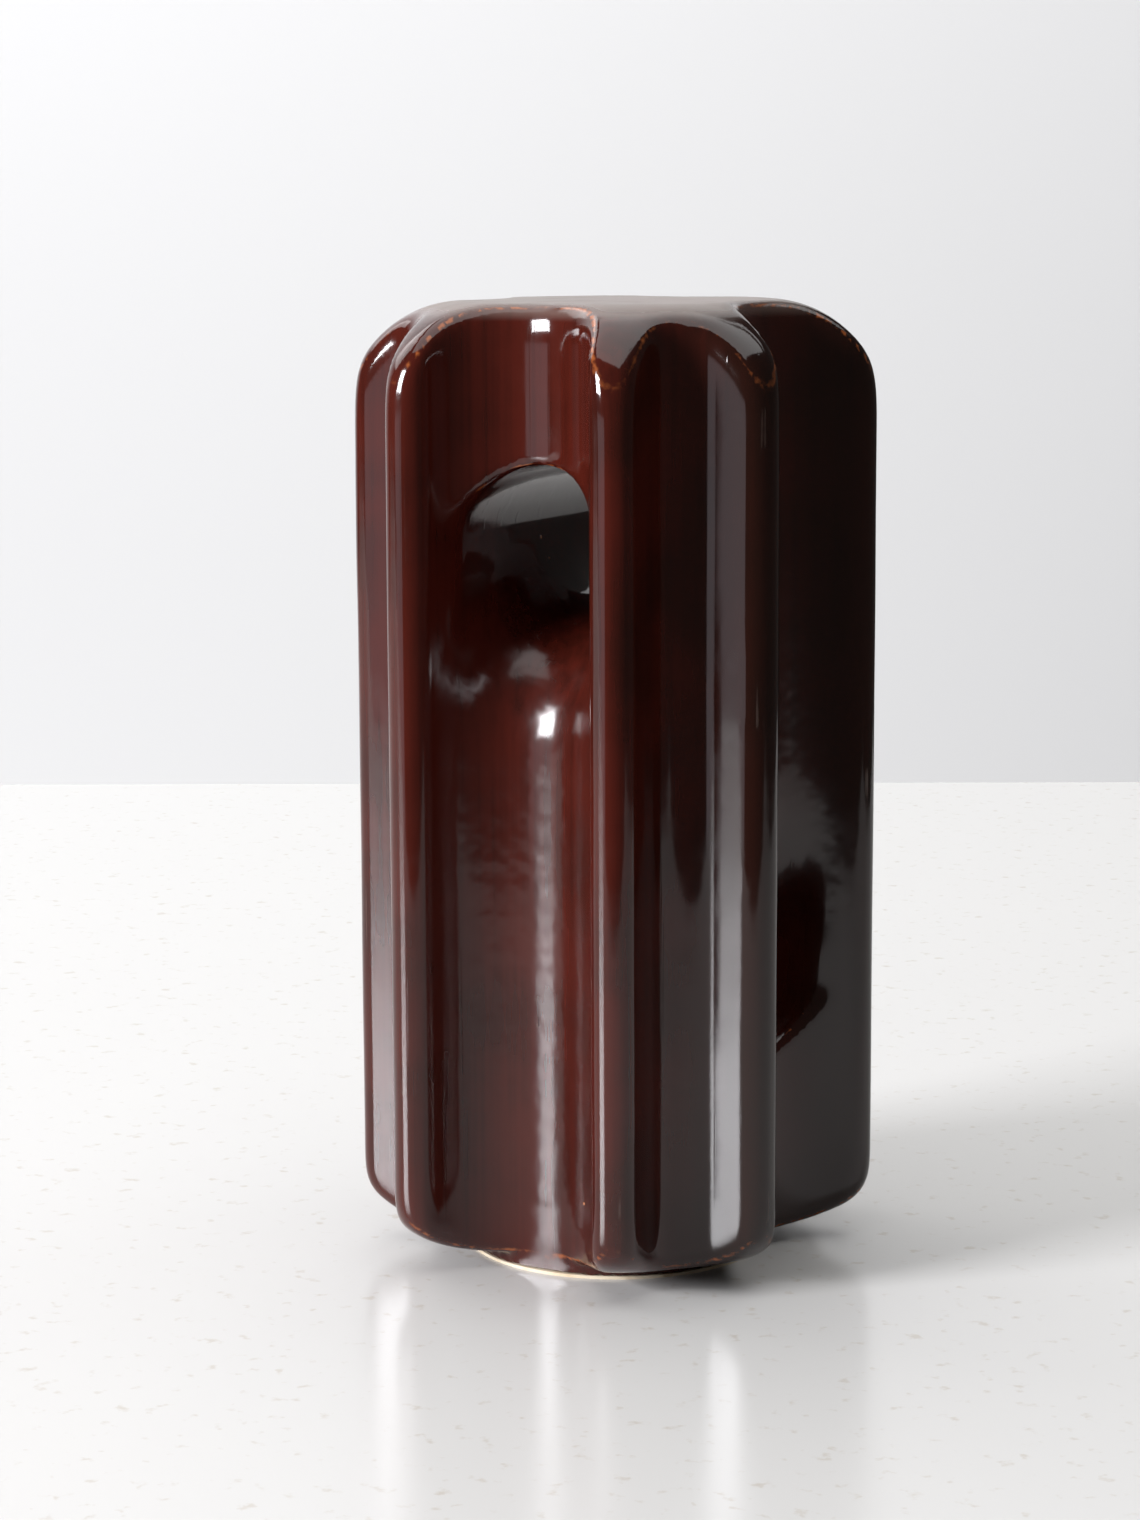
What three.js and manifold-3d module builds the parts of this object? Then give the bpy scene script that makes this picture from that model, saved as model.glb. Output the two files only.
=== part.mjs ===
// Guy strain insulator: a fluted porcelain cylinder with two cable holes that cross at right angles.
// Millimetres, +Z up, origin at the centre of the foot. The upper hole runs along Y, the lower along X.

import * as THREE from 'three';
import { mergeVertices } from 'three/addons/utils/BufferGeometryUtils.js';
import Module from 'manifold-3d';

const wasm = await Module();
wasm.setup();

// Body
const bodyRadius = 44.45;
const overallHeight = 163.5;
const footRadius = 26;
const footHeight = 2.5;
const crownShoulder = { radial: 18.7, axial: 16.8 };
const baseShoulder = { radial: 19.8, axial: 10.2 };

// Flutes alternate: a cable flute has a hole in its floor, and a plain flute lies between two of them.
// Each has a round floor, and straight flanks that run up to the rounded tips of the ribs beside it.
const fluteCount = 8;
const fluteSpacing = 2 * Math.PI / fluteCount;
const ribTipRadius = 3.9;
const ribTipCentre = bodyRadius - ribTipRadius;
const cableFluteHalfSpan = THREE.MathUtils.degToRad(28);
const cableFlute = flute(cableFluteHalfSpan, { depth: 18.3, floorRadius: 16 });
const plainFlute = flute(fluteSpacing - cableFluteHalfSpan, { depth: 9.3, floorRadius: 7.3 });

// Holes. The cable bends over the saddle, on the side of its hole that faces the other hole.
const holeRadius = 25.4 / 2;
const upperHoleHeight = 124.5;
const lowerHoleHeight = 47;
const saddleRadius = 25;

// The glaze is a skin of glass that stops short of the ground. A small gap parts it from the porcelain.
const glazeThickness = 0.35;
const fittingGap = 0.3;
const bareFootHeight = 0.6;

const latheSegments = 64;
const shoulderSteps = 5;
const arcDivisions = 3;
const roundSegments = 24;
const overrun = 2;
const blankClearance = 0.05;

const porcelain = new THREE.MeshStandardMaterial({ color: '#e3d6c0', roughness: 0.7, metalness: 0 });
const glaze = new THREE.MeshStandardMaterial({ color: '#3f1613', roughness: 0.08, metalness: 0 });

function solidFrom(geometry) {
  const bare = geometry.clone();
  bare.deleteAttribute('normal');
  bare.deleteAttribute('uv');
  const welded = mergeVertices(bare, 1e-4);
  return new wasm.Manifold(new wasm.Mesh({
    numProp: 3,
    vertProperties: new Float32Array(welded.attributes.position.array),
    triVerts: new Uint32Array(welded.index.array),
  }));
}

function meshFrom(solid, name, material) {
  const { vertProperties, triVerts } = solid.getMesh();
  const geometry = new THREE.BufferGeometry();
  geometry.setAttribute('position', new THREE.BufferAttribute(vertProperties, 3));
  geometry.setIndex(new THREE.BufferAttribute(triVerts, 1));
  const faceted = geometry.toNonIndexed();
  faceted.computeVertexNormals();
  const mesh = new THREE.Mesh(faceted, material);
  mesh.name = name;
  return mesh;
}

// The floor arc's centre, its distance from the axis at the middle, and how far it turns each way
// before the flank takes over.
function flute(halfSpan, { depth, floorRadius }) {
  const floor = bodyRadius - depth;
  const centre = floor + floorRadius;
  const across = ribTipCentre * Math.sin(halfSpan);
  const inward = centre - ribTipCentre * Math.cos(halfSpan);
  const flankTurn = Math.acos((floorRadius + ribTipRadius) / Math.hypot(across, inward));
  return { halfSpan, floor, floorRadius, centre, lean: Math.atan2(across, inward) - flankTurn };
}

// The cross section, anticlockwise: a flute, then the rib after it, all the way round.
function flutedSection(inset) {
  const section = new THREE.Shape();
  for (let i = 0; i < fluteCount; i += 1) {
    const [here, next] = i % 2 ? [plainFlute, cableFlute] : [cableFlute, plainFlute];
    const middle = i * fluteSpacing;
    const floorX = here.centre * Math.cos(middle);
    const floorY = here.centre * Math.sin(middle);
    const floorStart = middle + Math.PI + here.lean;
    const floorEnd = middle + Math.PI - here.lean;
    section.absarc(floorX, floorY, here.floorRadius + inset, floorStart, floorEnd, true);
    const tipAngle = middle + here.halfSpan;
    const tipX = ribTipCentre * Math.cos(tipAngle);
    const tipY = ribTipCentre * Math.sin(tipAngle);
    const tipStart = middle - here.lean;
    const tipEnd = middle + fluteSpacing + next.lean;
    section.absarc(tipX, tipY, ribTipRadius - inset, tipStart, tipEnd, false);
  }
  return section;
}

// Half the outline of the turned blank: foot, base shoulder, side, crown shoulder and crown.
function turnedOutline(inset) {
  const sideRadius = bodyRadius + blankClearance;
  const baseRise = footHeight + baseShoulder.axial;
  const crownRise = overallHeight - crownShoulder.axial;
  const baseCentre = new THREE.Vector2(sideRadius - baseShoulder.radial, baseRise);
  const crownCentre = new THREE.Vector2(sideRadius - crownShoulder.radial, crownRise);
  const outline = [new THREE.Vector2(0, 0), new THREE.Vector2(footRadius - inset, 0)];
  const shoulders = [
    { centre: baseCentre, size: baseShoulder, from: -Math.PI / 2, keep: footRadius },
    { centre: crownCentre, size: crownShoulder, from: 0, keep: 0 },
  ];
  for (const { centre, size, from, keep } of shoulders) {
    for (let step = 0; step <= shoulderSteps; step += 1) {
      const angle = from + step / shoulderSteps * Math.PI / 2;
      const x = centre.x + (size.radial - inset) * Math.cos(angle);
      const y = centre.y + (size.axial - inset) * Math.sin(angle);
      if (x > keep - inset) outline.push(new THREE.Vector2(x, y));
    }
  }
  outline.push(new THREE.Vector2(0, overallHeight - inset));
  return outline;
}

// A cable hole along Y, centred on the origin, with a saddle below each of its mouths. The saddle is
// what a rope of the hole's width leaves when it turns down into the flute.
function cableHole(inset) {
  const radius = holeRadius + inset;
  const length = 2 * (bodyRadius + overrun);
  let hole = solidFrom(new THREE.CylinderGeometry(radius, radius, length, roundSegments));
  const bendRadius = saddleRadius + holeRadius;
  const bendStart = cableFlute.floor - saddleRadius;
  const reach = bendRadius + radius + overrun;
  for (const side of [-1, 1]) {
    const ring = new THREE.TorusGeometry(bendRadius, radius, roundSegments, 2 * roundSegments);
    ring.rotateY(Math.PI / 2).translate(0, side * bendStart, -bendRadius);
    const quarter = new THREE.BoxGeometry(reach, reach, reach);
    quarter.translate(0, side * (bendStart + reach / 2), reach / 2 - bendRadius);
    hole = hole.add(solidFrom(ring).intersect(solidFrom(quarter)));
  }
  return hole;
}

// The insulator's solid, with every surface but the ground face moved inwards by the inset.
function insulator(inset) {
  const blank = new THREE.LatheGeometry(turnedOutline(inset), latheSegments).rotateX(Math.PI / 2);
  const fluted = new THREE.ExtrudeGeometry(flutedSection(inset), {
    depth: overallHeight + 2 * overrun,
    curveSegments: arcDivisions,
    bevelEnabled: false,
  }).translate(0, 0, -overrun);
  const hole = cableHole(inset);
  const upper = hole.translate([0, 0, upperHoleHeight]);
  const lower = hole.rotate([180, 0, 90]).translate([0, 0, lowerHoleHeight]);
  return solidFrom(blank).intersect(solidFrom(fluted)).subtract(upper).subtract(lower);
}

// Under the glaze, and out to the foot's full width where the glaze stops.
function porcelainBody() {
  const bareHeight = bareFootHeight - fittingGap;
  const bareFoot = new THREE.CylinderGeometry(footRadius, footRadius, bareHeight, latheSegments);
  bareFoot.rotateX(Math.PI / 2).translate(0, 0, bareHeight / 2);
  const body = insulator(glazeThickness + fittingGap).add(solidFrom(bareFoot));
  return meshFrom(body, 'porcelain_body', porcelain);
}

function glazeCoat() {
  const bareZone = new THREE.BoxGeometry(4 * bodyRadius, 4 * bodyRadius, 2 * bareFootHeight);
  const coat = insulator(0).subtract(insulator(glazeThickness)).subtract(solidFrom(bareZone));
  return meshFrom(coat, 'glaze_coat', glaze);
}

const assembly = new THREE.Group();
assembly.add(porcelainBody(), glazeCoat());

export default assembly;
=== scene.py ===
import bpy
import math
from mathutils import Euler, Matrix, Vector


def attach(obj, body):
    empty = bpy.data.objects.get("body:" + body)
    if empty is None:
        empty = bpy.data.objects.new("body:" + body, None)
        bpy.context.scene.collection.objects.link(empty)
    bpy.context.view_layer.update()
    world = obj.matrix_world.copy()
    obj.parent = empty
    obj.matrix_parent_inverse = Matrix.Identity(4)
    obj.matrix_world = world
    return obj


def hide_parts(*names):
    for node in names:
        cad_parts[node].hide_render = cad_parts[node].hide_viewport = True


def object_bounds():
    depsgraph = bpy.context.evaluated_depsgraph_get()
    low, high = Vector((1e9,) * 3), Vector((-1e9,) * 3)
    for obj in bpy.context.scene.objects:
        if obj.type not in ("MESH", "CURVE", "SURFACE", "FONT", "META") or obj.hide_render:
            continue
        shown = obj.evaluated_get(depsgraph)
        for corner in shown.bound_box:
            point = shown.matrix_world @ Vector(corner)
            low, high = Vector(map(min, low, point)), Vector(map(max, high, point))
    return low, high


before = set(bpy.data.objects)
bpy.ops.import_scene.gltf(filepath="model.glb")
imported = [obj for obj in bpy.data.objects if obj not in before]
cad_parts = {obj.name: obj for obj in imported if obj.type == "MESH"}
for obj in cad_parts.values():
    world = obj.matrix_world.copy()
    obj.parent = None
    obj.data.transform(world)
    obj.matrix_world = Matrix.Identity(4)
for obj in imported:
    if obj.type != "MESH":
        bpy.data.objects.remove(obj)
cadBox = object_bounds()
mm = 0.001


def srgb(hexColour):
    parts = [int(hexColour[i:i + 2], 16) / 255 for i in (1, 3, 5)]
    linear = [c / 12.92 if c <= 0.04045 else ((c + 0.055) / 1.055) ** 2.4 for c in parts]
    return (*linear, 1.0)


# adds one node; inputs go by name or place and are values or sockets, settings are its properties
def addNode(tree, kind, inputs=None, **settings):
    node = tree.nodes.new(kind)
    for name, value in settings.items():
        setattr(node, name, value)
    for key, value in (inputs or {}).items():
        if isinstance(value, bpy.types.NodeSocket):
            tree.links.new(value, node.inputs[key])
        else:
            node.inputs[key].default_value = value
    return node


# a number inside a node tree, so that the shape's formulas can be written as formulas
class Term:
    def __init__(self, socket):
        self.socket = socket

    def do(self, operation, *others):
        terms = (self, *others)
        values = {i: t.socket if isinstance(t, Term) else t for i, t in enumerate(terms)}
        node = addNode(self.socket.id_data, "ShaderNodeMath", values, operation=operation)
        return Term(node.outputs[0])

    def __add__(self, other):
        return self.do("ADD", other)

    def __sub__(self, other):
        return self.do("SUBTRACT", other)

    def __mul__(self, other):
        return self.do("MULTIPLY", other)

    def __truediv__(self, other):
        return self.do("DIVIDE", other)

    def __neg__(self):
        return self.do("MULTIPLY", -1.0)

    # rises from 0 at low to 1 at high, with no corner at either end
    def rise(self, low, high):
        part = ((self - low) / (high - low)).do("MAXIMUM", 0.0).do("MINIMUM", 1.0)
        return part * part * (part * -2.0 + 3.0)


def length(a, b):
    return (a * a + b * b).do("SQRT")


# the insulator's sizes, each an input of the node trees; a softness is how far a rounded corner reaches
insulator = {
    "Body Radius": 44.45 * mm,  # to the tips of the ribs
    "Height": cadBox[1][2],
    "Foot Radius": 26.0 * mm,
    "Foot Height": 2.5 * mm,
    "Foot Column": 12.0 * mm,  # how far the foot runs up inside the body
    "Foot Softness": 1.5 * mm,
    "Side Room": 2.0 * mm,  # from the ribs' tips out to the turned blank
    "Crown Radial": 20.5 * mm,  # the half axes of the elliptical shoulders
    "Crown Axial": 21.8 * mm,
    "Base Radial": 21.5 * mm,
    "Base Axial": 13.15 * mm,
    "Flare Start": 157.3 * mm,  # where the flutes begin to widen towards the crown
    "Flare Radius": 22.0 * mm,
    "Cable Floor": 26.15 * mm,  # from the axis to a flute's floor
    "Cable Round": 16.0 * mm,
    "Cable Lean": math.radians(64.2),
    "Plain Floor": 35.15 * mm,
    "Plain Round": 7.3 * mm,
    "Plain Lean": math.radians(47.3),
    "Rib Angle": math.radians(28),  # from a cable flute's middle to a rib
    "Rib Tip": 3.9 * mm,
    "Hole Radius": 12.7 * mm,
    "Upper Hole": 124.5 * mm,
    "Lower Hole": 47.0 * mm,
    "Saddle Radius": 25.0 * mm,
    "Saddle Spread": 0.05,  # how much wider the hole is on its saddle
    "Rim Softness": 4.0 * mm,
    "Mouth Softness": 2.0 * mm,
    "Saddle Softness": 3.5 * mm,
    "Chip Depth": 0.35 * mm,
    "Waviness": 0.12 * mm,
}

# where the skin is: on a rounded rim, on the tip of a rib, on a chip or on a saddle
skinMasks = ("Rim", "Rib", "Chip", "Saddle")

# where the shape and its masks come in: from the first distance or share to the second
reach = {
    "spreadAlong": (14 * mm, 28 * mm),
    "spreadBelow": (0.0, 14 * mm),
    "saddleBelow": (3 * mm, 9 * mm),
    "saddleSkin": (-2 * mm, 0.0),
    "topLip": (0.0, 11 * mm),
    "rimSkin": (-4 * mm, -2 * mm),
    "chipSpots": (0.62, 0.7),
    "chipRim": (0.6, 0.9),
}
chipSpacing = 3.2 * mm
waveLength = 26 * mm
plainRimFade = 0.25  # the glaze runs less thin on the rims of the plain flutes


# how far a point is outside the insulator, and how much of each mask is there
def buildField():
    tree = bpy.data.node_groups.new("insulatorField", "GeometryNodeTree")
    face = tree.interface
    face.new_socket("Position", in_out="INPUT", socket_type="NodeSocketVector")
    for name in insulator:
        face.new_socket(name, in_out="INPUT", socket_type="NodeSocketFloat")
    for name in ("Distance", *skinMasks):
        face.new_socket(name, in_out="OUTPUT", socket_type="NodeSocketFloat")
    given = addNode(tree, "NodeGroupInput")
    size = {name: Term(given.outputs[name]) for name in insulator}
    place = addNode(tree, "ShaderNodeSeparateXYZ", {0: given.outputs["Position"]})
    x, y, z = (Term(o) for o in place.outputs)
    sideX, sideY = x.do("ABSOLUTE"), y.do("ABSOLUTE")
    radius = length(x, y)

    # the section repeats in mirrored eighths, so each point is folded into the first one
    out, over = sideX.do("MAXIMUM", sideY), sideX.do("MINIMUM", sideY)

    # a round cable flute on each main axis
    cable = size["Cable Round"] - length(out - (size["Cable Floor"] + size["Cable Round"]), over)

    # a plain flute between them has a round floor and straight flanks
    diagonal = math.sqrt(0.5)
    outward = (out + over) * diagonal - (size["Plain Floor"] + size["Plain Round"])
    across = (out - over) * diagonal
    leanSine, leanCosine = size["Plain Lean"].do("SINE"), size["Plain Lean"].do("COSINE")
    offFlank = (across * leanSine - outward * leanCosine).do("MAXIMUM", 0.0)
    upFlank = (outward * leanSine + across * leanCosine).do("MINIMUM", 0.0)
    plain = size["Plain Round"] - length(offFlank, upFlank)

    # past both of its flanks, the rib between two flutes is a round tip
    tipCentre = size["Body Radius"] - size["Rib Tip"]
    tipOut = out - tipCentre * size["Rib Angle"].do("COSINE")
    tipOver = over - tipCentre * size["Rib Angle"].do("SINE")
    pastCable = tipOut * size["Cable Lean"].do("SINE") + tipOver * size["Cable Lean"].do("COSINE")
    plainEdge = size["Plain Lean"] - math.pi / 4
    pastPlain = tipOut * plainEdge.do("COSINE") + tipOver * plainEdge.do("SINE")
    pastBoth = pastCable.do("MINIMUM", pastPlain)
    flutes = cable.do("MAXIMUM", plain)
    tip = length(tipOut, tipOver) - size["Rib Tip"]
    ribs = flutes + (tip - flutes) * pastBoth.do("GREATER_THAN", 0.0)

    # the turned blank stands just clear of the ribs' sides and has an elliptical shoulder at each end
    blankRadius = size["Body Radius"] + size["Side Room"]
    nearZero = 0.001  # keeps the division below away from 0 over 0

    def turnedEnd(height, radial, axial):
        offR = ((radius - (blankRadius - radial)) / radial).do("MAXIMUM", nearZero)
        offZ = ((height + axial) / axial).do("MAXIMUM", nearZero)
        apart = length(offR, offZ)
        return (apart - 1.0) * apart / length(offR / radial, offZ / axial)

    crown = turnedEnd(z - size["Height"], size["Crown Radial"], size["Crown Axial"])
    base = turnedEnd(size["Foot Height"] - z, size["Base Radial"], size["Base Axial"])
    turned = crown.do("MAXIMUM", base)

    # a cable hole takes both the straight way out and the one that bends down over the saddle, and
    # all between them; it spreads a little sideways on the saddle
    def cableHole(aside, along, up):
        bend = size["Saddle Radius"] + size["Hole Radius"]
        pastStart = (along - (size["Cable Floor"] - size["Saddle Radius"])).do("MAXIMUM", 0.0)
        aboveBend = length(pastStart, (up + bend).do("MAXIMUM", 0.0)) - bend
        offWay = up.do("MAXIMUM", -aboveBend).do("MAXIMUM", 0.0)
        spread = along.rise(*reach["spreadAlong"]) * (-up).rise(*reach["spreadBelow"])
        spread = spread * size["Saddle Spread"]
        hole = size["Hole Radius"] - length(aside / (spread + 1.0), offWay)
        offStraight = length(aside, up) - size["Hole Radius"]
        onSaddle = offStraight.rise(*reach["saddleBelow"]) * hole.rise(*reach["saddleSkin"])
        return hole, up.rise(*reach["topLip"]), onSaddle

    upper, upperTop, upperSaddle = cableHole(x, sideY, z - size["Upper Hole"])
    lower, lowerTop, lowerSaddle = cableHole(y, sideX, size["Lower Hole"] - z)
    holes = upper.do("MAXIMUM", lower)

    # the flutes flare towards the crown, both ends have rounded rims, and the holes have rounded lips
    flare = (z - size["Flare Start"]).do("MAXIMUM", 0.0)
    ribs = ribs + flare * flare / (size["Flare Radius"] * 2.0)
    ribbed = ribs.do("SMOOTH_MAX", turned, size["Rim Softness"])
    foot = (radius - size["Foot Radius"]).do("MAXIMUM", -z).do("MAXIMUM", z - size["Foot Column"])
    footed = ribbed.do("SMOOTH_MIN", foot, size["Foot Softness"])
    atTop = lowerTop + (upperTop - lowerTop) * upper.do("GREATER_THAN", lower)
    mouthSoftness = size["Saddle Softness"] + (size["Mouth Softness"] - size["Saddle Softness"]) * atTop
    whole = footed.do("SMOOTH_MAX", holes, mouthSoftness)
    mouth = (whole - footed.do("MAXIMUM", holes)) * atTop

    # a smooth maximum stands a sixth of its softness above a plain one in the middle of a rim, so
    # six times that height is 1 there
    onPlain = plain.do("GREATER_THAN", cable)
    rim = (ribbed - ribs.do("MAXIMUM", turned)) * 6.0 / size["Rim Softness"]
    rim = rim * (onPlain * -plainRimFade + 1.0) * ribbed.rise(*reach["rimSkin"])
    rim = rim.do("MAXIMUM", mouth * 6.0 / size["Mouth Softness"])
    rib = (pastBoth / size["Rib Tip"]).rise(0.0, 1.0)

    # small chips along the rims, and the slow waves of a surface shaped wet and fired soft
    position = given.outputs["Position"]
    chipNoise = addNode(tree, "ShaderNodeTexNoise", {
        "Vector": position, "Scale": 1 / chipSpacing, "Detail": 2.0,
    })
    waveNoise = addNode(tree, "ShaderNodeTexNoise", {
        "Vector": position, "Scale": 1 / waveLength, "Detail": 0.0,
    })
    spots = Term(chipNoise.outputs["Fac"]).rise(*reach["chipSpots"])
    chipped = spots * rim.rise(*reach["chipRim"])
    waves = (Term(waveNoise.outputs["Fac"]) - 0.5) * size["Waviness"] * 2
    whole = whole + chipped * size["Chip Depth"] + waves
    addNode(tree, "NodeGroupOutput", {
        "Distance": whole.socket, "Rim": rim.socket, "Rib": rib.socket,
        "Chip": chipped.socket, "Saddle": upperSaddle.do("MAXIMUM", lowerSaddle).socket,
    })
    return tree


# how the skin is meshed
meshing = {
    "margin": 2 * mm,
    "pulls": 3,
    "slopeStep": 0.05 * mm,
    "pullLimit": 0.5 * mm,
    "sharpAngle": math.radians(40),
    "discSides": 160,
    "groundSize": 0.2,
}


# meshes the field on a grid of voxels, pulls each point onto the exact surface, and adds the bare
# disc of the foot, as high as bareFoot says
def buildSkinTree(name, field, cutSockets, bareFoot=0.0):
    tree = bpy.data.node_groups.new(name, "GeometryNodeTree")
    face = tree.interface
    face.new_socket("Geometry", in_out="INPUT", socket_type="NodeSocketGeometry")
    for label, value in {**insulator, **cutSockets}.items():
        socket = face.new_socket(label, in_out="INPUT", socket_type="NodeSocketFloat")
        socket.default_value = value
    face.new_socket("Material", in_out="INPUT", socket_type="NodeSocketMaterial")
    face.new_socket("Geometry", in_out="OUTPUT", socket_type="NodeSocketGeometry")
    given = addNode(tree, "NodeGroupInput")

    def fieldAt(position):
        inputs = {label: given.outputs[label] for label in insulator}
        inputs["Position"] = position
        return addNode(tree, "GeometryNodeGroup", inputs, node_tree=field)

    def skinAt(position):
        height = Term(addNode(tree, "ShaderNodeSeparateXYZ", {0: position}).outputs["Z"])
        inset = Term(fieldAt(position).outputs["Distance"]) + Term(given.outputs["Inset"])
        return inset.do("MAXIMUM", Term(given.outputs["Ground Cut"]) - height)

    # a volume around the insulator, dense inside the skin
    here = addNode(tree, "GeometryNodeInputPosition").outputs[0]
    voxel = Term(given.outputs["Voxel"])
    margin = meshing["margin"]
    wide = Term(given.outputs["Body Radius"]) + margin
    tall = Term(given.outputs["Height"]) + margin
    low = addNode(tree, "ShaderNodeCombineXYZ", {0: (-wide).socket, 1: (-wide).socket, 2: -margin})
    high = addNode(tree, "ShaderNodeCombineXYZ", {0: wide.socket, 1: wide.socket, 2: tall.socket})
    across = (wide * 2 / voxel).socket
    upward = ((tall + margin) / voxel).socket
    cube = addNode(tree, "GeometryNodeVolumeCube", {
        "Density": (-skinAt(here) / voxel).socket, "Background": -1.0,
        "Min": low.outputs[0], "Max": high.outputs[0],
        "Resolution X": across, "Resolution Y": across, "Resolution Z": upward,
    })
    skin = addNode(tree, "GeometryNodeVolumeToMesh", {"Volume": cube.outputs[0], "Threshold": 0.0})
    mesh = skin.outputs["Mesh"]

    # each pull moves the points down the field's slope until the distance would be nothing
    for _ in range(meshing["pulls"]):
        start = skinAt(here)
        slopes = []
        for axis in range(3):
            offset = [meshing["slopeStep"] if i == axis else 0.0 for i in range(3)]
            beside = addNode(tree, "ShaderNodeVectorMath", {0: here, 1: offset}, operation="ADD")
            slopes.append((skinAt(beside.outputs[0]) - start) / meshing["slopeStep"])
        steepness = slopes[0] * slopes[0] + slopes[1] * slopes[1] + slopes[2] * slopes[2]
        limit = meshing["pullLimit"]
        pull = (-start / steepness).do("MAXIMUM", -limit).do("MINIMUM", limit)
        parts = {i: (slope * pull).socket for i, slope in enumerate(slopes)}
        move = addNode(tree, "ShaderNodeCombineXYZ", parts)
        moved = addNode(tree, "GeometryNodeSetPosition", {"Geometry": mesh, "Offset": move.outputs[0]})
        mesh = moved.outputs[0]

    masks = fieldAt(here)
    for mask in skinMasks:
        stored = addNode(tree, "GeometryNodeStoreNamedAttribute", {
            "Geometry": mesh, "Name": mask.lower(), "Value": masks.outputs[mask],
        }, data_type="FLOAT", domain="POINT")
        mesh = stored.outputs[0]

    # the bare disc, and a block that cuts off what hangs below the ground
    if bareFoot:
        disc = addNode(tree, "GeometryNodeMeshCylinder", {
            "Vertices": meshing["discSides"],
            "Radius": given.outputs["Foot Radius"],
            "Depth": 2 * bareFoot,
        })
        joined = addNode(tree, "GeometryNodeMeshBoolean", operation="UNION", solver="EXACT")
        tree.links.new(mesh, joined.inputs["Mesh 2"])
        tree.links.new(disc.outputs["Mesh"], joined.inputs["Mesh 2"])
        blockSize = (meshing["groundSize"], meshing["groundSize"], 2 * bareFoot)
        ground = addNode(tree, "GeometryNodeMeshCube", {"Size": blockSize})
        below = addNode(tree, "GeometryNodeTransform", {
            "Geometry": ground.outputs["Mesh"], "Translation": (0, 0, -bareFoot),
        })
        grounded = addNode(tree, "GeometryNodeMeshBoolean", operation="DIFFERENCE", solver="EXACT")
        tree.links.new(joined.outputs["Mesh"], grounded.inputs["Mesh 1"])
        tree.links.new(below.outputs[0], grounded.inputs["Mesh 2"])
        mesh = grounded.outputs["Mesh"]

    smooth = addNode(tree, "GeometryNodeSetShadeSmooth", {"Geometry": mesh})
    bend = addNode(tree, "GeometryNodeInputMeshEdgeAngle").outputs["Unsigned Angle"]
    sharp = Term(bend).do("GREATER_THAN", meshing["sharpAngle"])
    creased = addNode(tree, "GeometryNodeSetShadeSmooth", {
        "Geometry": smooth.outputs[0], "Selection": sharp.socket, "Shade Smooth": False,
    }, domain="EDGE")
    finished = addNode(tree, "GeometryNodeSetMaterial", {
        "Geometry": creased.outputs[0], "Material": given.outputs["Material"],
    })
    real = addNode(tree, "GeometryNodeRealizeInstances", {"Geometry": finished.outputs[0]})
    addNode(tree, "NodeGroupOutput", {0: real.outputs[0]})
    return tree


# runs a node tree on an empty object and keeps what it makes as a plain mesh
def grow(name, tree, values):
    seedObject = bpy.data.objects.new(name, bpy.data.meshes.new(name + "Seed"))
    bpy.context.scene.collection.objects.link(seedObject)
    modifier = seedObject.modifiers.new("grow", "NODES")
    modifier.node_group = tree
    for item in tree.interface.items_tree:
        if item.in_out == "INPUT" and item.name in values:
            modifier[item.identifier] = values[item.name]
    graph = bpy.context.evaluated_depsgraph_get()
    mesh = bpy.data.meshes.new_from_object(seedObject.evaluated_get(graph))
    seedObject.modifiers.clear()
    seedObject.data = mesh
    mesh.name = name
    print(name, len(mesh.polygons), "faces")
    return seedObject


# colours and how much of each; sizes of the patterns; depths of the bumps; a band is where a pattern
# comes in, from its first value to its second
glazeLook = {
    "body": "#41150e",
    "pooled": "#180906",
    # painted shade: the olive-black colour laid on the +X side, turned from the window
    "shadedSide": "#130b07",
    "thin": "#96522a",
    "bare": "#b9885c",
    "scuff": "#9a8d84",
    "pooledShare": 0.5,
    "shadedSideShare": 0.8,
    "thinShare": 0.9,
    "thinLostOnRibs": 0.6,
    "scuffShare": 0.35,
    "dustShare": 0.5,
    "dustLostOnRims": 0.9,
    "roughness": 0.075,
    "dulled": 0.2,
    "dusty": 0.34,
    "chipped": 0.4,
    "smearShare": 0.4,
    "blotch": 22 * mm,
    "streak": 1.6 * mm,
    "streakStretch": 50,
    "speck": 1.3 * mm,
    "smear": 6 * mm,
    "wave": 9 * mm,
    "ripple": 3.5 * mm,
    "peel": 1.4 * mm,
    "pinholeSpacing": 11 * mm,
    "pinhole": 0.35 * mm,
    "waveDepth": 0.03 * mm,
    "rippleDepth": 0.12 * mm,
    "peelDepth": 0.0012 * mm,
    "dieLineDepth": 0.006 * mm,
    "pinholeDepth": 0.05 * mm,
    # painted shade on the +X side: how far its edge wanders, and from where to where it comes in
    "shadeWander": 12 * mm,
    "shadeBand": (18 * mm, 34 * mm),
    "dustBand": (160.5 * mm, 163.3 * mm),
    "poolBand": (0.42, 0.66),
    "thinBand": (0.4, 0.9),
    "chipBand": (0.55, 0.75),
    "rubBand": (0.62, 0.7),
    "rubbedAreaBand": (0.55, 0.65),
    "smearBand": (0.45, 0.7),
    "dieLineBand": (0.62, 0.66),
    "pinholeBand": (0.6, 0.61),
}
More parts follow.
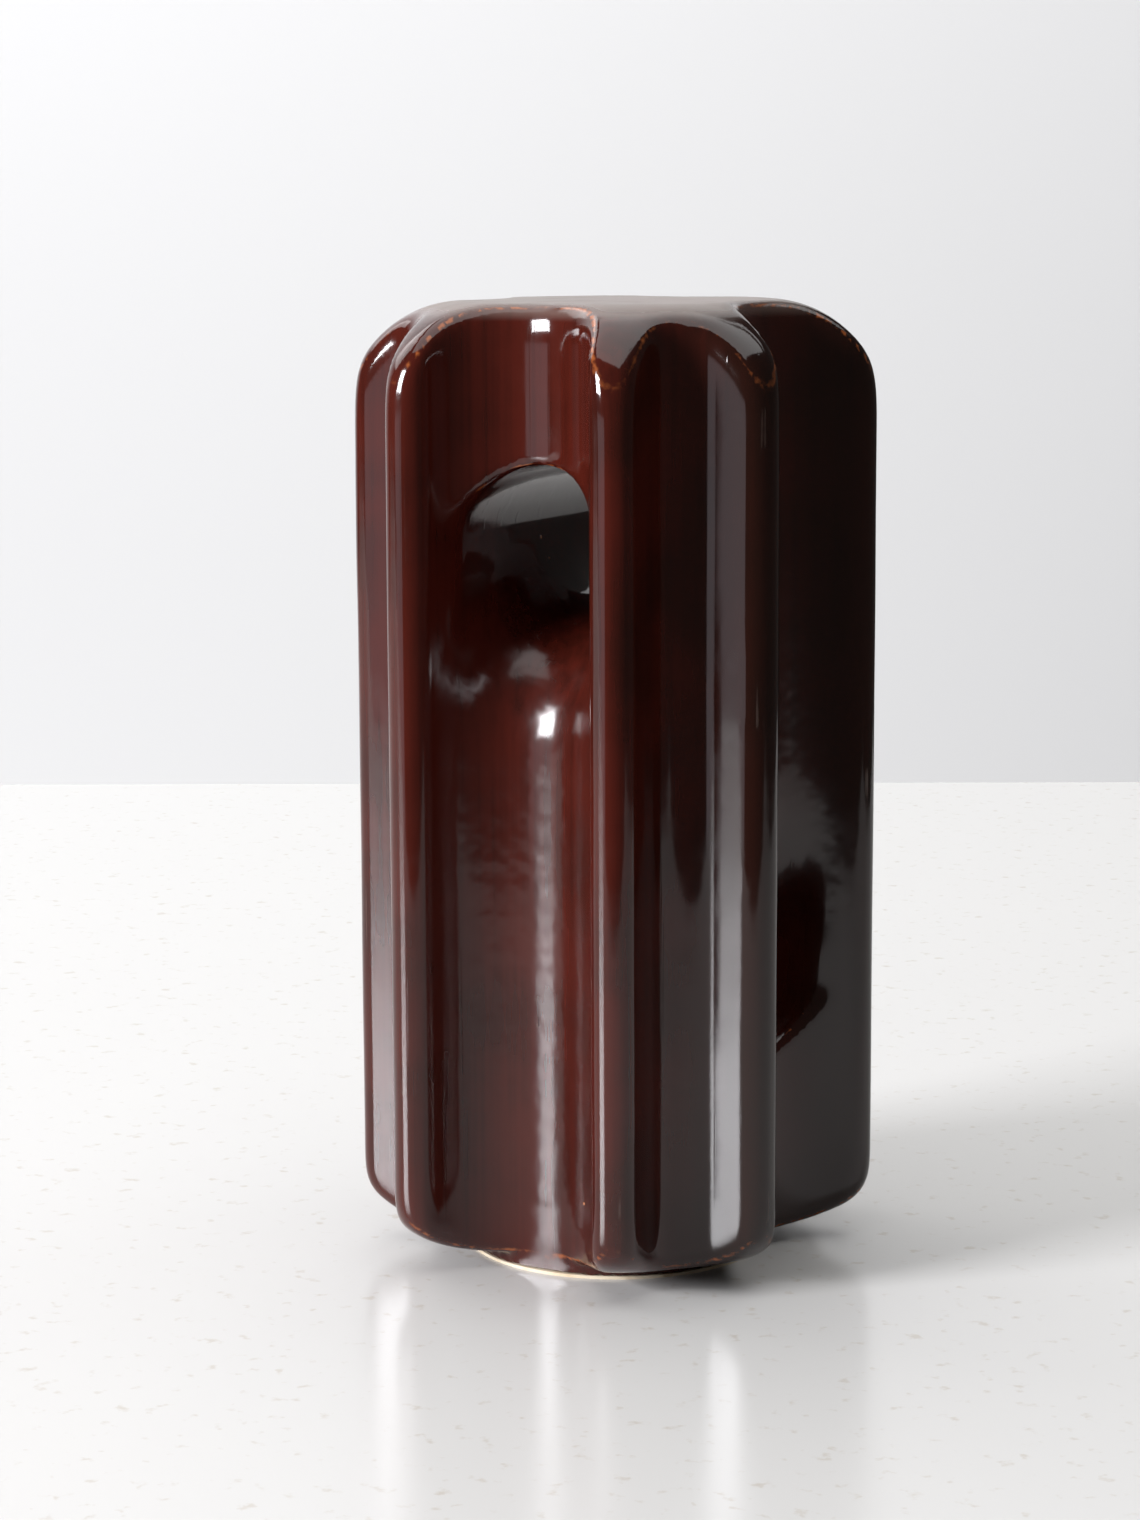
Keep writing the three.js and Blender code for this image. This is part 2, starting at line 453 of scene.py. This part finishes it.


# Brown slip glaze fired to a glass: dark wet red-brown, almost black where it pools in the hollows and
# rust-orange where it runs thin off a rim.
# Its colour also carries painted shade: the +X side, turned from the window, is darkened toward
# olive-black.
# It has pinholes, faint runs drawn down its length, saddles dulled by rope and a crown dull with dust.
def brownSlipGlaze():
    look = glazeLook
    material = bpy.data.materials.new("brownSlipGlaze")
    material.use_nodes = True
    tree = material.node_tree
    tree.nodes.clear()
    place = addNode(tree, "ShaderNodeTexCoord").outputs["Object"]
    parts = addNode(tree, "ShaderNodeSeparateXYZ", {0: place})
    x, z = Term(parts.outputs["X"]), Term(parts.outputs["Z"])
    stretch = (1, 1, 1 / look["streakStretch"])
    drawn = addNode(tree, "ShaderNodeMapping", {"Vector": place, "Scale": stretch}).outputs[0]

    # each pattern's place, grain and detail
    patterns = {
        "blotches": (place, look["blotch"], 4.0),
        "streaks": (drawn, look["streak"], 2.0),
        "broken": (place, look["speck"], 3.0),
        "rubbed": (drawn, look["speck"], 4.0),
        "smears": (place, look["smear"], 5.0),
        "waves": (place, look["wave"], 1.0),
        "ripples": (place, look["ripple"], 1.0),
        "peel": (place, look["peel"], 1.0),
    }
    noise = {}
    for name, (vector, grain, detail) in patterns.items():
        node = addNode(tree, "ShaderNodeTexNoise", {"Vector": vector, "Scale": 1 / grain, "Detail": detail})
        noise[name] = Term(node.outputs["Fac"])
    skin = {}
    for mask in skinMasks:
        node = addNode(tree, "ShaderNodeAttribute", attribute_name=mask.lower())
        skin[mask] = Term(node.outputs["Fac"])
    blotchy = noise["blotches"] - 0.5
    broken = noise["broken"] - 0.5

    pooled = (noise["blotches"] * 0.6 + noise["streaks"] * 0.4).rise(*look["poolBand"])
    # painted shade: darkens the colour toward olive-black on the +X side, turned from the window
    shadedSide = (x + blotchy * look["shadeWander"]).rise(*look["shadeBand"])
    thin = (skin["Rim"] * skin["Rim"] + broken * 0.9 + blotchy * 0.8).rise(*look["thinBand"])
    thinShare = skin["Rib"] * -look["thinLostOnRibs"] + look["thinShare"]
    chip = (skin["Chip"] + broken * 0.6).rise(*look["chipBand"])
    rubbedArea = noise["blotches"].rise(*look["rubbedAreaBand"])
    scuff = noise["rubbed"].rise(*look["rubBand"]) * rubbedArea * skin["Rib"]
    dusty = z.rise(*look["dustBand"]) * (skin["Rim"] * -look["dustLostOnRims"] + 1.0)

    # a pinhole lies in the middle of some of the cells
    cells = addNode(tree, "ShaderNodeTexVoronoi", {"Vector": place, "Scale": 1 / look["pinholeSpacing"]})
    chosen = Term(addNode(tree, "ShaderNodeSeparateColor", {0: cells.outputs["Color"]}).outputs[0])
    pinholeEdge = look["pinhole"] / look["pinholeSpacing"]
    inside = (-Term(cells.outputs["Distance"])).rise(-pinholeEdge, -pinholeEdge * 0.6)
    pinhole = inside * chosen.rise(*look["pinholeBand"])

    colour = srgb(look["body"])
    for share, name in (
        (pooled * look["pooledShare"], "pooled"),
        (shadedSide * look["shadedSideShare"], "shadedSide"),
        (thin * thinShare, "thin"),
        (chip, "bare"),
        (pinhole, "bare"),
        (scuff * look["scuffShare"], "scuff"),
        (dusty * look["dustShare"], "scuff"),
    ):
        layer = {"Factor": share.socket, "A": colour, "B": srgb(look[name])}
        colour = addNode(tree, "ShaderNodeMix", layer, data_type="RGBA").outputs["Result"]

    smears = noise["smears"].rise(*look["smearBand"]) * look["smearShare"]
    dulled = smears.do("MAXIMUM", skin["Saddle"]).do("MAXIMUM", scuff)
    roughness = dulled * (look["dulled"] - look["roughness"]) + look["roughness"]
    roughness = roughness + dusty * (look["dusty"] - look["roughness"]) + chip * look["chipped"]

    height = noise["waves"] * look["waveDepth"] + noise["peel"] * look["peelDepth"]
    height = height + noise["ripples"] * skin["Saddle"] * look["rippleDepth"]
    height = height + noise["streaks"].rise(*look["dieLineBand"]) * look["dieLineDepth"]
    height = height - pinhole * look["pinholeDepth"]
    bump = addNode(tree, "ShaderNodeBump", {"Height": height.socket, "Distance": 1.0, "Strength": 1.0})
    shader = addNode(tree, "ShaderNodeBsdfPrincipled", {
        "Base Color": colour, "Roughness": roughness.socket, "IOR": 1.52, "Normal": bump.outputs[0],
    })
    addNode(tree, "ShaderNodeOutputMaterial", {"Surface": shader.outputs[0]})
    return material


porcelainLook = {
    "body": "#e2d4bb",
    "kilnMarked": "#cdb694",
    "patch": 6 * mm,
    "patchBand": (0.45, 0.7),
    "roughness": 0.75,
}


# Fired porcelain without its glaze: a matt warm cream, a little browner in soft patches where the
# kiln marked it.
def firedPorcelain():
    look = porcelainLook
    material = bpy.data.materials.new("firedPorcelain")
    material.use_nodes = True
    tree = material.node_tree
    tree.nodes.clear()
    place = addNode(tree, "ShaderNodeTexCoord").outputs["Object"]
    patches = addNode(tree, "ShaderNodeTexNoise", {
        "Vector": place, "Scale": 1 / look["patch"], "Detail": 4.0,
    })
    marked = Term(patches.outputs["Fac"]).rise(*look["patchBand"])
    tone = addNode(tree, "ShaderNodeMix", {
        "Factor": marked.socket, "A": srgb(look["body"]), "B": srgb(look["kilnMarked"]),
    }, data_type="RGBA")
    shader = addNode(tree, "ShaderNodeBsdfPrincipled", {
        "Base Color": tone.outputs["Result"], "Roughness": look["roughness"], "IOR": 1.5,
    })
    addNode(tree, "ShaderNodeOutputMaterial", {"Surface": shader.outputs[0]})
    return material


glaze = brownSlipGlaze()
porcelain = firedPorcelain()
field = buildField()
bareHeight = 0.5 * mm  # how much of the foot the glaze leaves bare
print("materials and field done")

coatCuts = {"Inset": 0.0, "Ground Cut": bareHeight, "Voxel": 1.0 * mm}
coatTree = buildSkinTree("glazeSkin", field, coatCuts)
glazeCoat = grow("glazeCoat", coatTree, {**insulator, **coatCuts, "Material": glaze})
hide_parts("glaze_coat")
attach(glazeCoat, "root")
print("glaze coat done")

bodyCuts = {"Inset": 0.65 * mm, "Ground Cut": 0.0, "Voxel": 2.0 * mm}
bodyTree = buildSkinTree("porcelainSkin", field, bodyCuts, bareFoot=bareHeight)
porcelainBody = grow("porcelainBody", bodyTree, {**insulator, **bodyCuts, "Material": porcelain})
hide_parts("porcelain_body")
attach(porcelainBody, "root")
print("porcelain body done")

bpy.context.scene.view_settings.view_transform = "Standard"

# the room is turned so that its front faces the camera
turn = math.radians(28.5)
room = {
    "left": -2.4,
    "right": 0.46,
    "tableFront": -0.34,
    "tableBack": 0.482,
    "wall": 1.3,
    "wallFoot": -0.7,
    "wallTop": 1.9,
}


def roomPoint(x, y, z):
    return Vector((x * math.cos(turn) - y * math.sin(turn), x * math.sin(turn) + y * math.cos(turn), z))


def aroundRoom(azimuth, distance, height):
    a = math.radians(azimuth)
    return roomPoint(math.sin(a) * distance, -math.cos(a) * distance, height)


# a sheet as wide as the room, drawn by its side profile of distances back and heights
def sheet(name, profile, material):
    edges = [[roomPoint(room[side], y, z) for y, z in profile] for side in ("left", "right")]
    count = len(profile)
    faces = [(i, i + count, i + count + 1, i + 1) for i in range(count - 1)]
    mesh = bpy.data.meshes.new(name)
    mesh.from_pydata(edges[0] + edges[1], [], faces)
    mesh.materials.append(material)
    thing = bpy.data.objects.new(name, mesh)
    bpy.context.scene.collection.objects.link(thing)


quartzLook = {
    "ground": "#d0cfcd",
    "fleck": "#b5aa9b",
    "fleckGrain": 3.5 * mm,
    "fleckBand": (0.6, 0.75),
    "fleckShare": 0.5,
    "roughness": 0.2,
    "shine": 0.3,
}


# polished white quartz: a softly mirroring white with faint warm flecks
def whiteQuartz():
    look = quartzLook
    material = bpy.data.materials.new("whiteQuartz")
    material.use_nodes = True
    tree = material.node_tree
    tree.nodes.clear()
    place = addNode(tree, "ShaderNodeTexCoord").outputs["Object"]
    grain = addNode(tree, "ShaderNodeTexNoise", {
        "Vector": place, "Scale": 1 / look["fleckGrain"], "Detail": 3.0,
    })
    flecks = Term(grain.outputs["Fac"]).rise(*look["fleckBand"]) * look["fleckShare"]
    tone = addNode(tree, "ShaderNodeMix", {
        "Factor": flecks.socket, "A": srgb(look["ground"]), "B": srgb(look["fleck"]),
    }, data_type="RGBA")
    shader = addNode(tree, "ShaderNodeBsdfPrincipled", {
        "Base Color": tone.outputs["Result"],
        "Roughness": look["roughness"],
        "Specular IOR Level": look["shine"],
    })
    addNode(tree, "ShaderNodeOutputMaterial", {"Surface": shader.outputs[0]})
    return material


# matt paint, an even pale grey
def paintedWall():
    material = bpy.data.materials.new("paintedWall")
    material.use_nodes = True
    shader = material.node_tree.nodes["Principled BSDF"]
    shader.inputs["Base Color"].default_value = srgb("#d3d3d3")
    shader.inputs["Roughness"].default_value = 0.9
    return material


# an evenly bright rectangle that faces its target
def softbox(name, centre, target, wide, tall, watts, colour="#ffffff"):
    lamp = bpy.data.lights.new(name, "AREA")
    lamp.shape = "RECTANGLE"
    lamp.size, lamp.size_y = wide, tall
    lamp.energy = watts
    lamp.color = srgb(colour)[:3]
    thing = bpy.data.objects.new(name, lamp)
    bpy.context.scene.collection.objects.link(thing)
    thing.location = centre
    thing.rotation_euler = (target - centre).to_track_quat("-Z", "Y").to_euler()


table = [(room["tableFront"], 0), (room["tableBack"], 0)]
wall = [(room["wall"], room["wallFoot"]), (room["wall"], room["wallTop"])]
sheet("worktop", table, whiteQuartz())
sheet("backWall", wall, paintedWall())

# the window stands on the left, and its sill is the dim strip below it in the glaze's reflections
windowAzimuth, windowHeight = -61.5, 0.62
sillAzimuth, sillHeight = -56, -0.06
away = 1.7
softbox(
    "window", aroundRoom(windowAzimuth, away, windowHeight), aroundRoom(windowAzimuth, 0.0, windowHeight),
    wide=0.63, tall=0.55, watts=58, colour="#fbfbff",
)
softbox(
    "sill", aroundRoom(sillAzimuth, away, sillHeight), aroundRoom(sillAzimuth, 0.0, sillHeight),
    wide=0.9, tall=0.36, watts=1.2, colour="#e8dee6",
)
middle = Vector((0, 0, 0.08))
softbox("sideLight", aroundRoom(-130, 1.6, 1.2), middle, wide=1.2, tall=0.9, watts=8)
softbox("overhead", roomPoint(0, 0.1, 1.9), roomPoint(0, 0.1, 0), wide=2.4, tall=2.4, watts=34)

# the wall is washed from above and from below the worktop
softbox(
    "wallWash", roomPoint(-0.2, 0.65, 0.85), roomPoint(0.0, 1.3, 0.1), wide=1.8, tall=0.4, watts=4,
)
softbox(
    "wallGlow", roomPoint(-0.4, 0.7, -0.6), roomPoint(-0.2, 1.3, -0.05), wide=1.6, tall=0.4, watts=5,
)
print("studio done")

# the room around is dim in the glaze's reflections and pale where it is seen directly
world = bpy.data.worlds.new("room")
world.use_nodes = True
nodes = world.node_tree
nodes.nodes.clear()
seen = addNode(nodes, "ShaderNodeLightPath").outputs["Is Camera Ray"]
dim = addNode(nodes, "ShaderNodeBackground", {"Color": srgb("#777573"), "Strength": 0.3})
pale = addNode(nodes, "ShaderNodeBackground", {"Color": srgb("#e6e6e5"), "Strength": 1.0})
both = addNode(nodes, "ShaderNodeMixShader", {0: seen, 1: dim.outputs[0], 2: pale.outputs[0]})
addNode(nodes, "ShaderNodeOutputWorld", {"Surface": both.outputs[0]})
bpy.context.scene.world = world

view = {
    "lens": 81.995,
    "sensor": 36,
    "distance": 0.5898,
    "height": 0.1794,
    "pitch": 0.1591,
    "yaw": 0.0135,
    "roll": -0.0044,
}
camera = bpy.data.cameras.new("camera")
camera.sensor_width = view["sensor"]
camera.lens = view["lens"]
cameraObject = bpy.data.objects.new("camera", camera)
bpy.context.scene.collection.objects.link(cameraObject)
cameraObject.location = roomPoint(0, -view["distance"], view["height"])
aim = Euler((math.pi / 2 - view["pitch"], 0, turn + view["yaw"])).to_matrix()
cameraObject.rotation_euler = (aim @ Matrix.Rotation(view["roll"], 3, "Z")).to_euler()
bpy.context.scene.camera = cameraObject

bpy.context.view_layer.update()
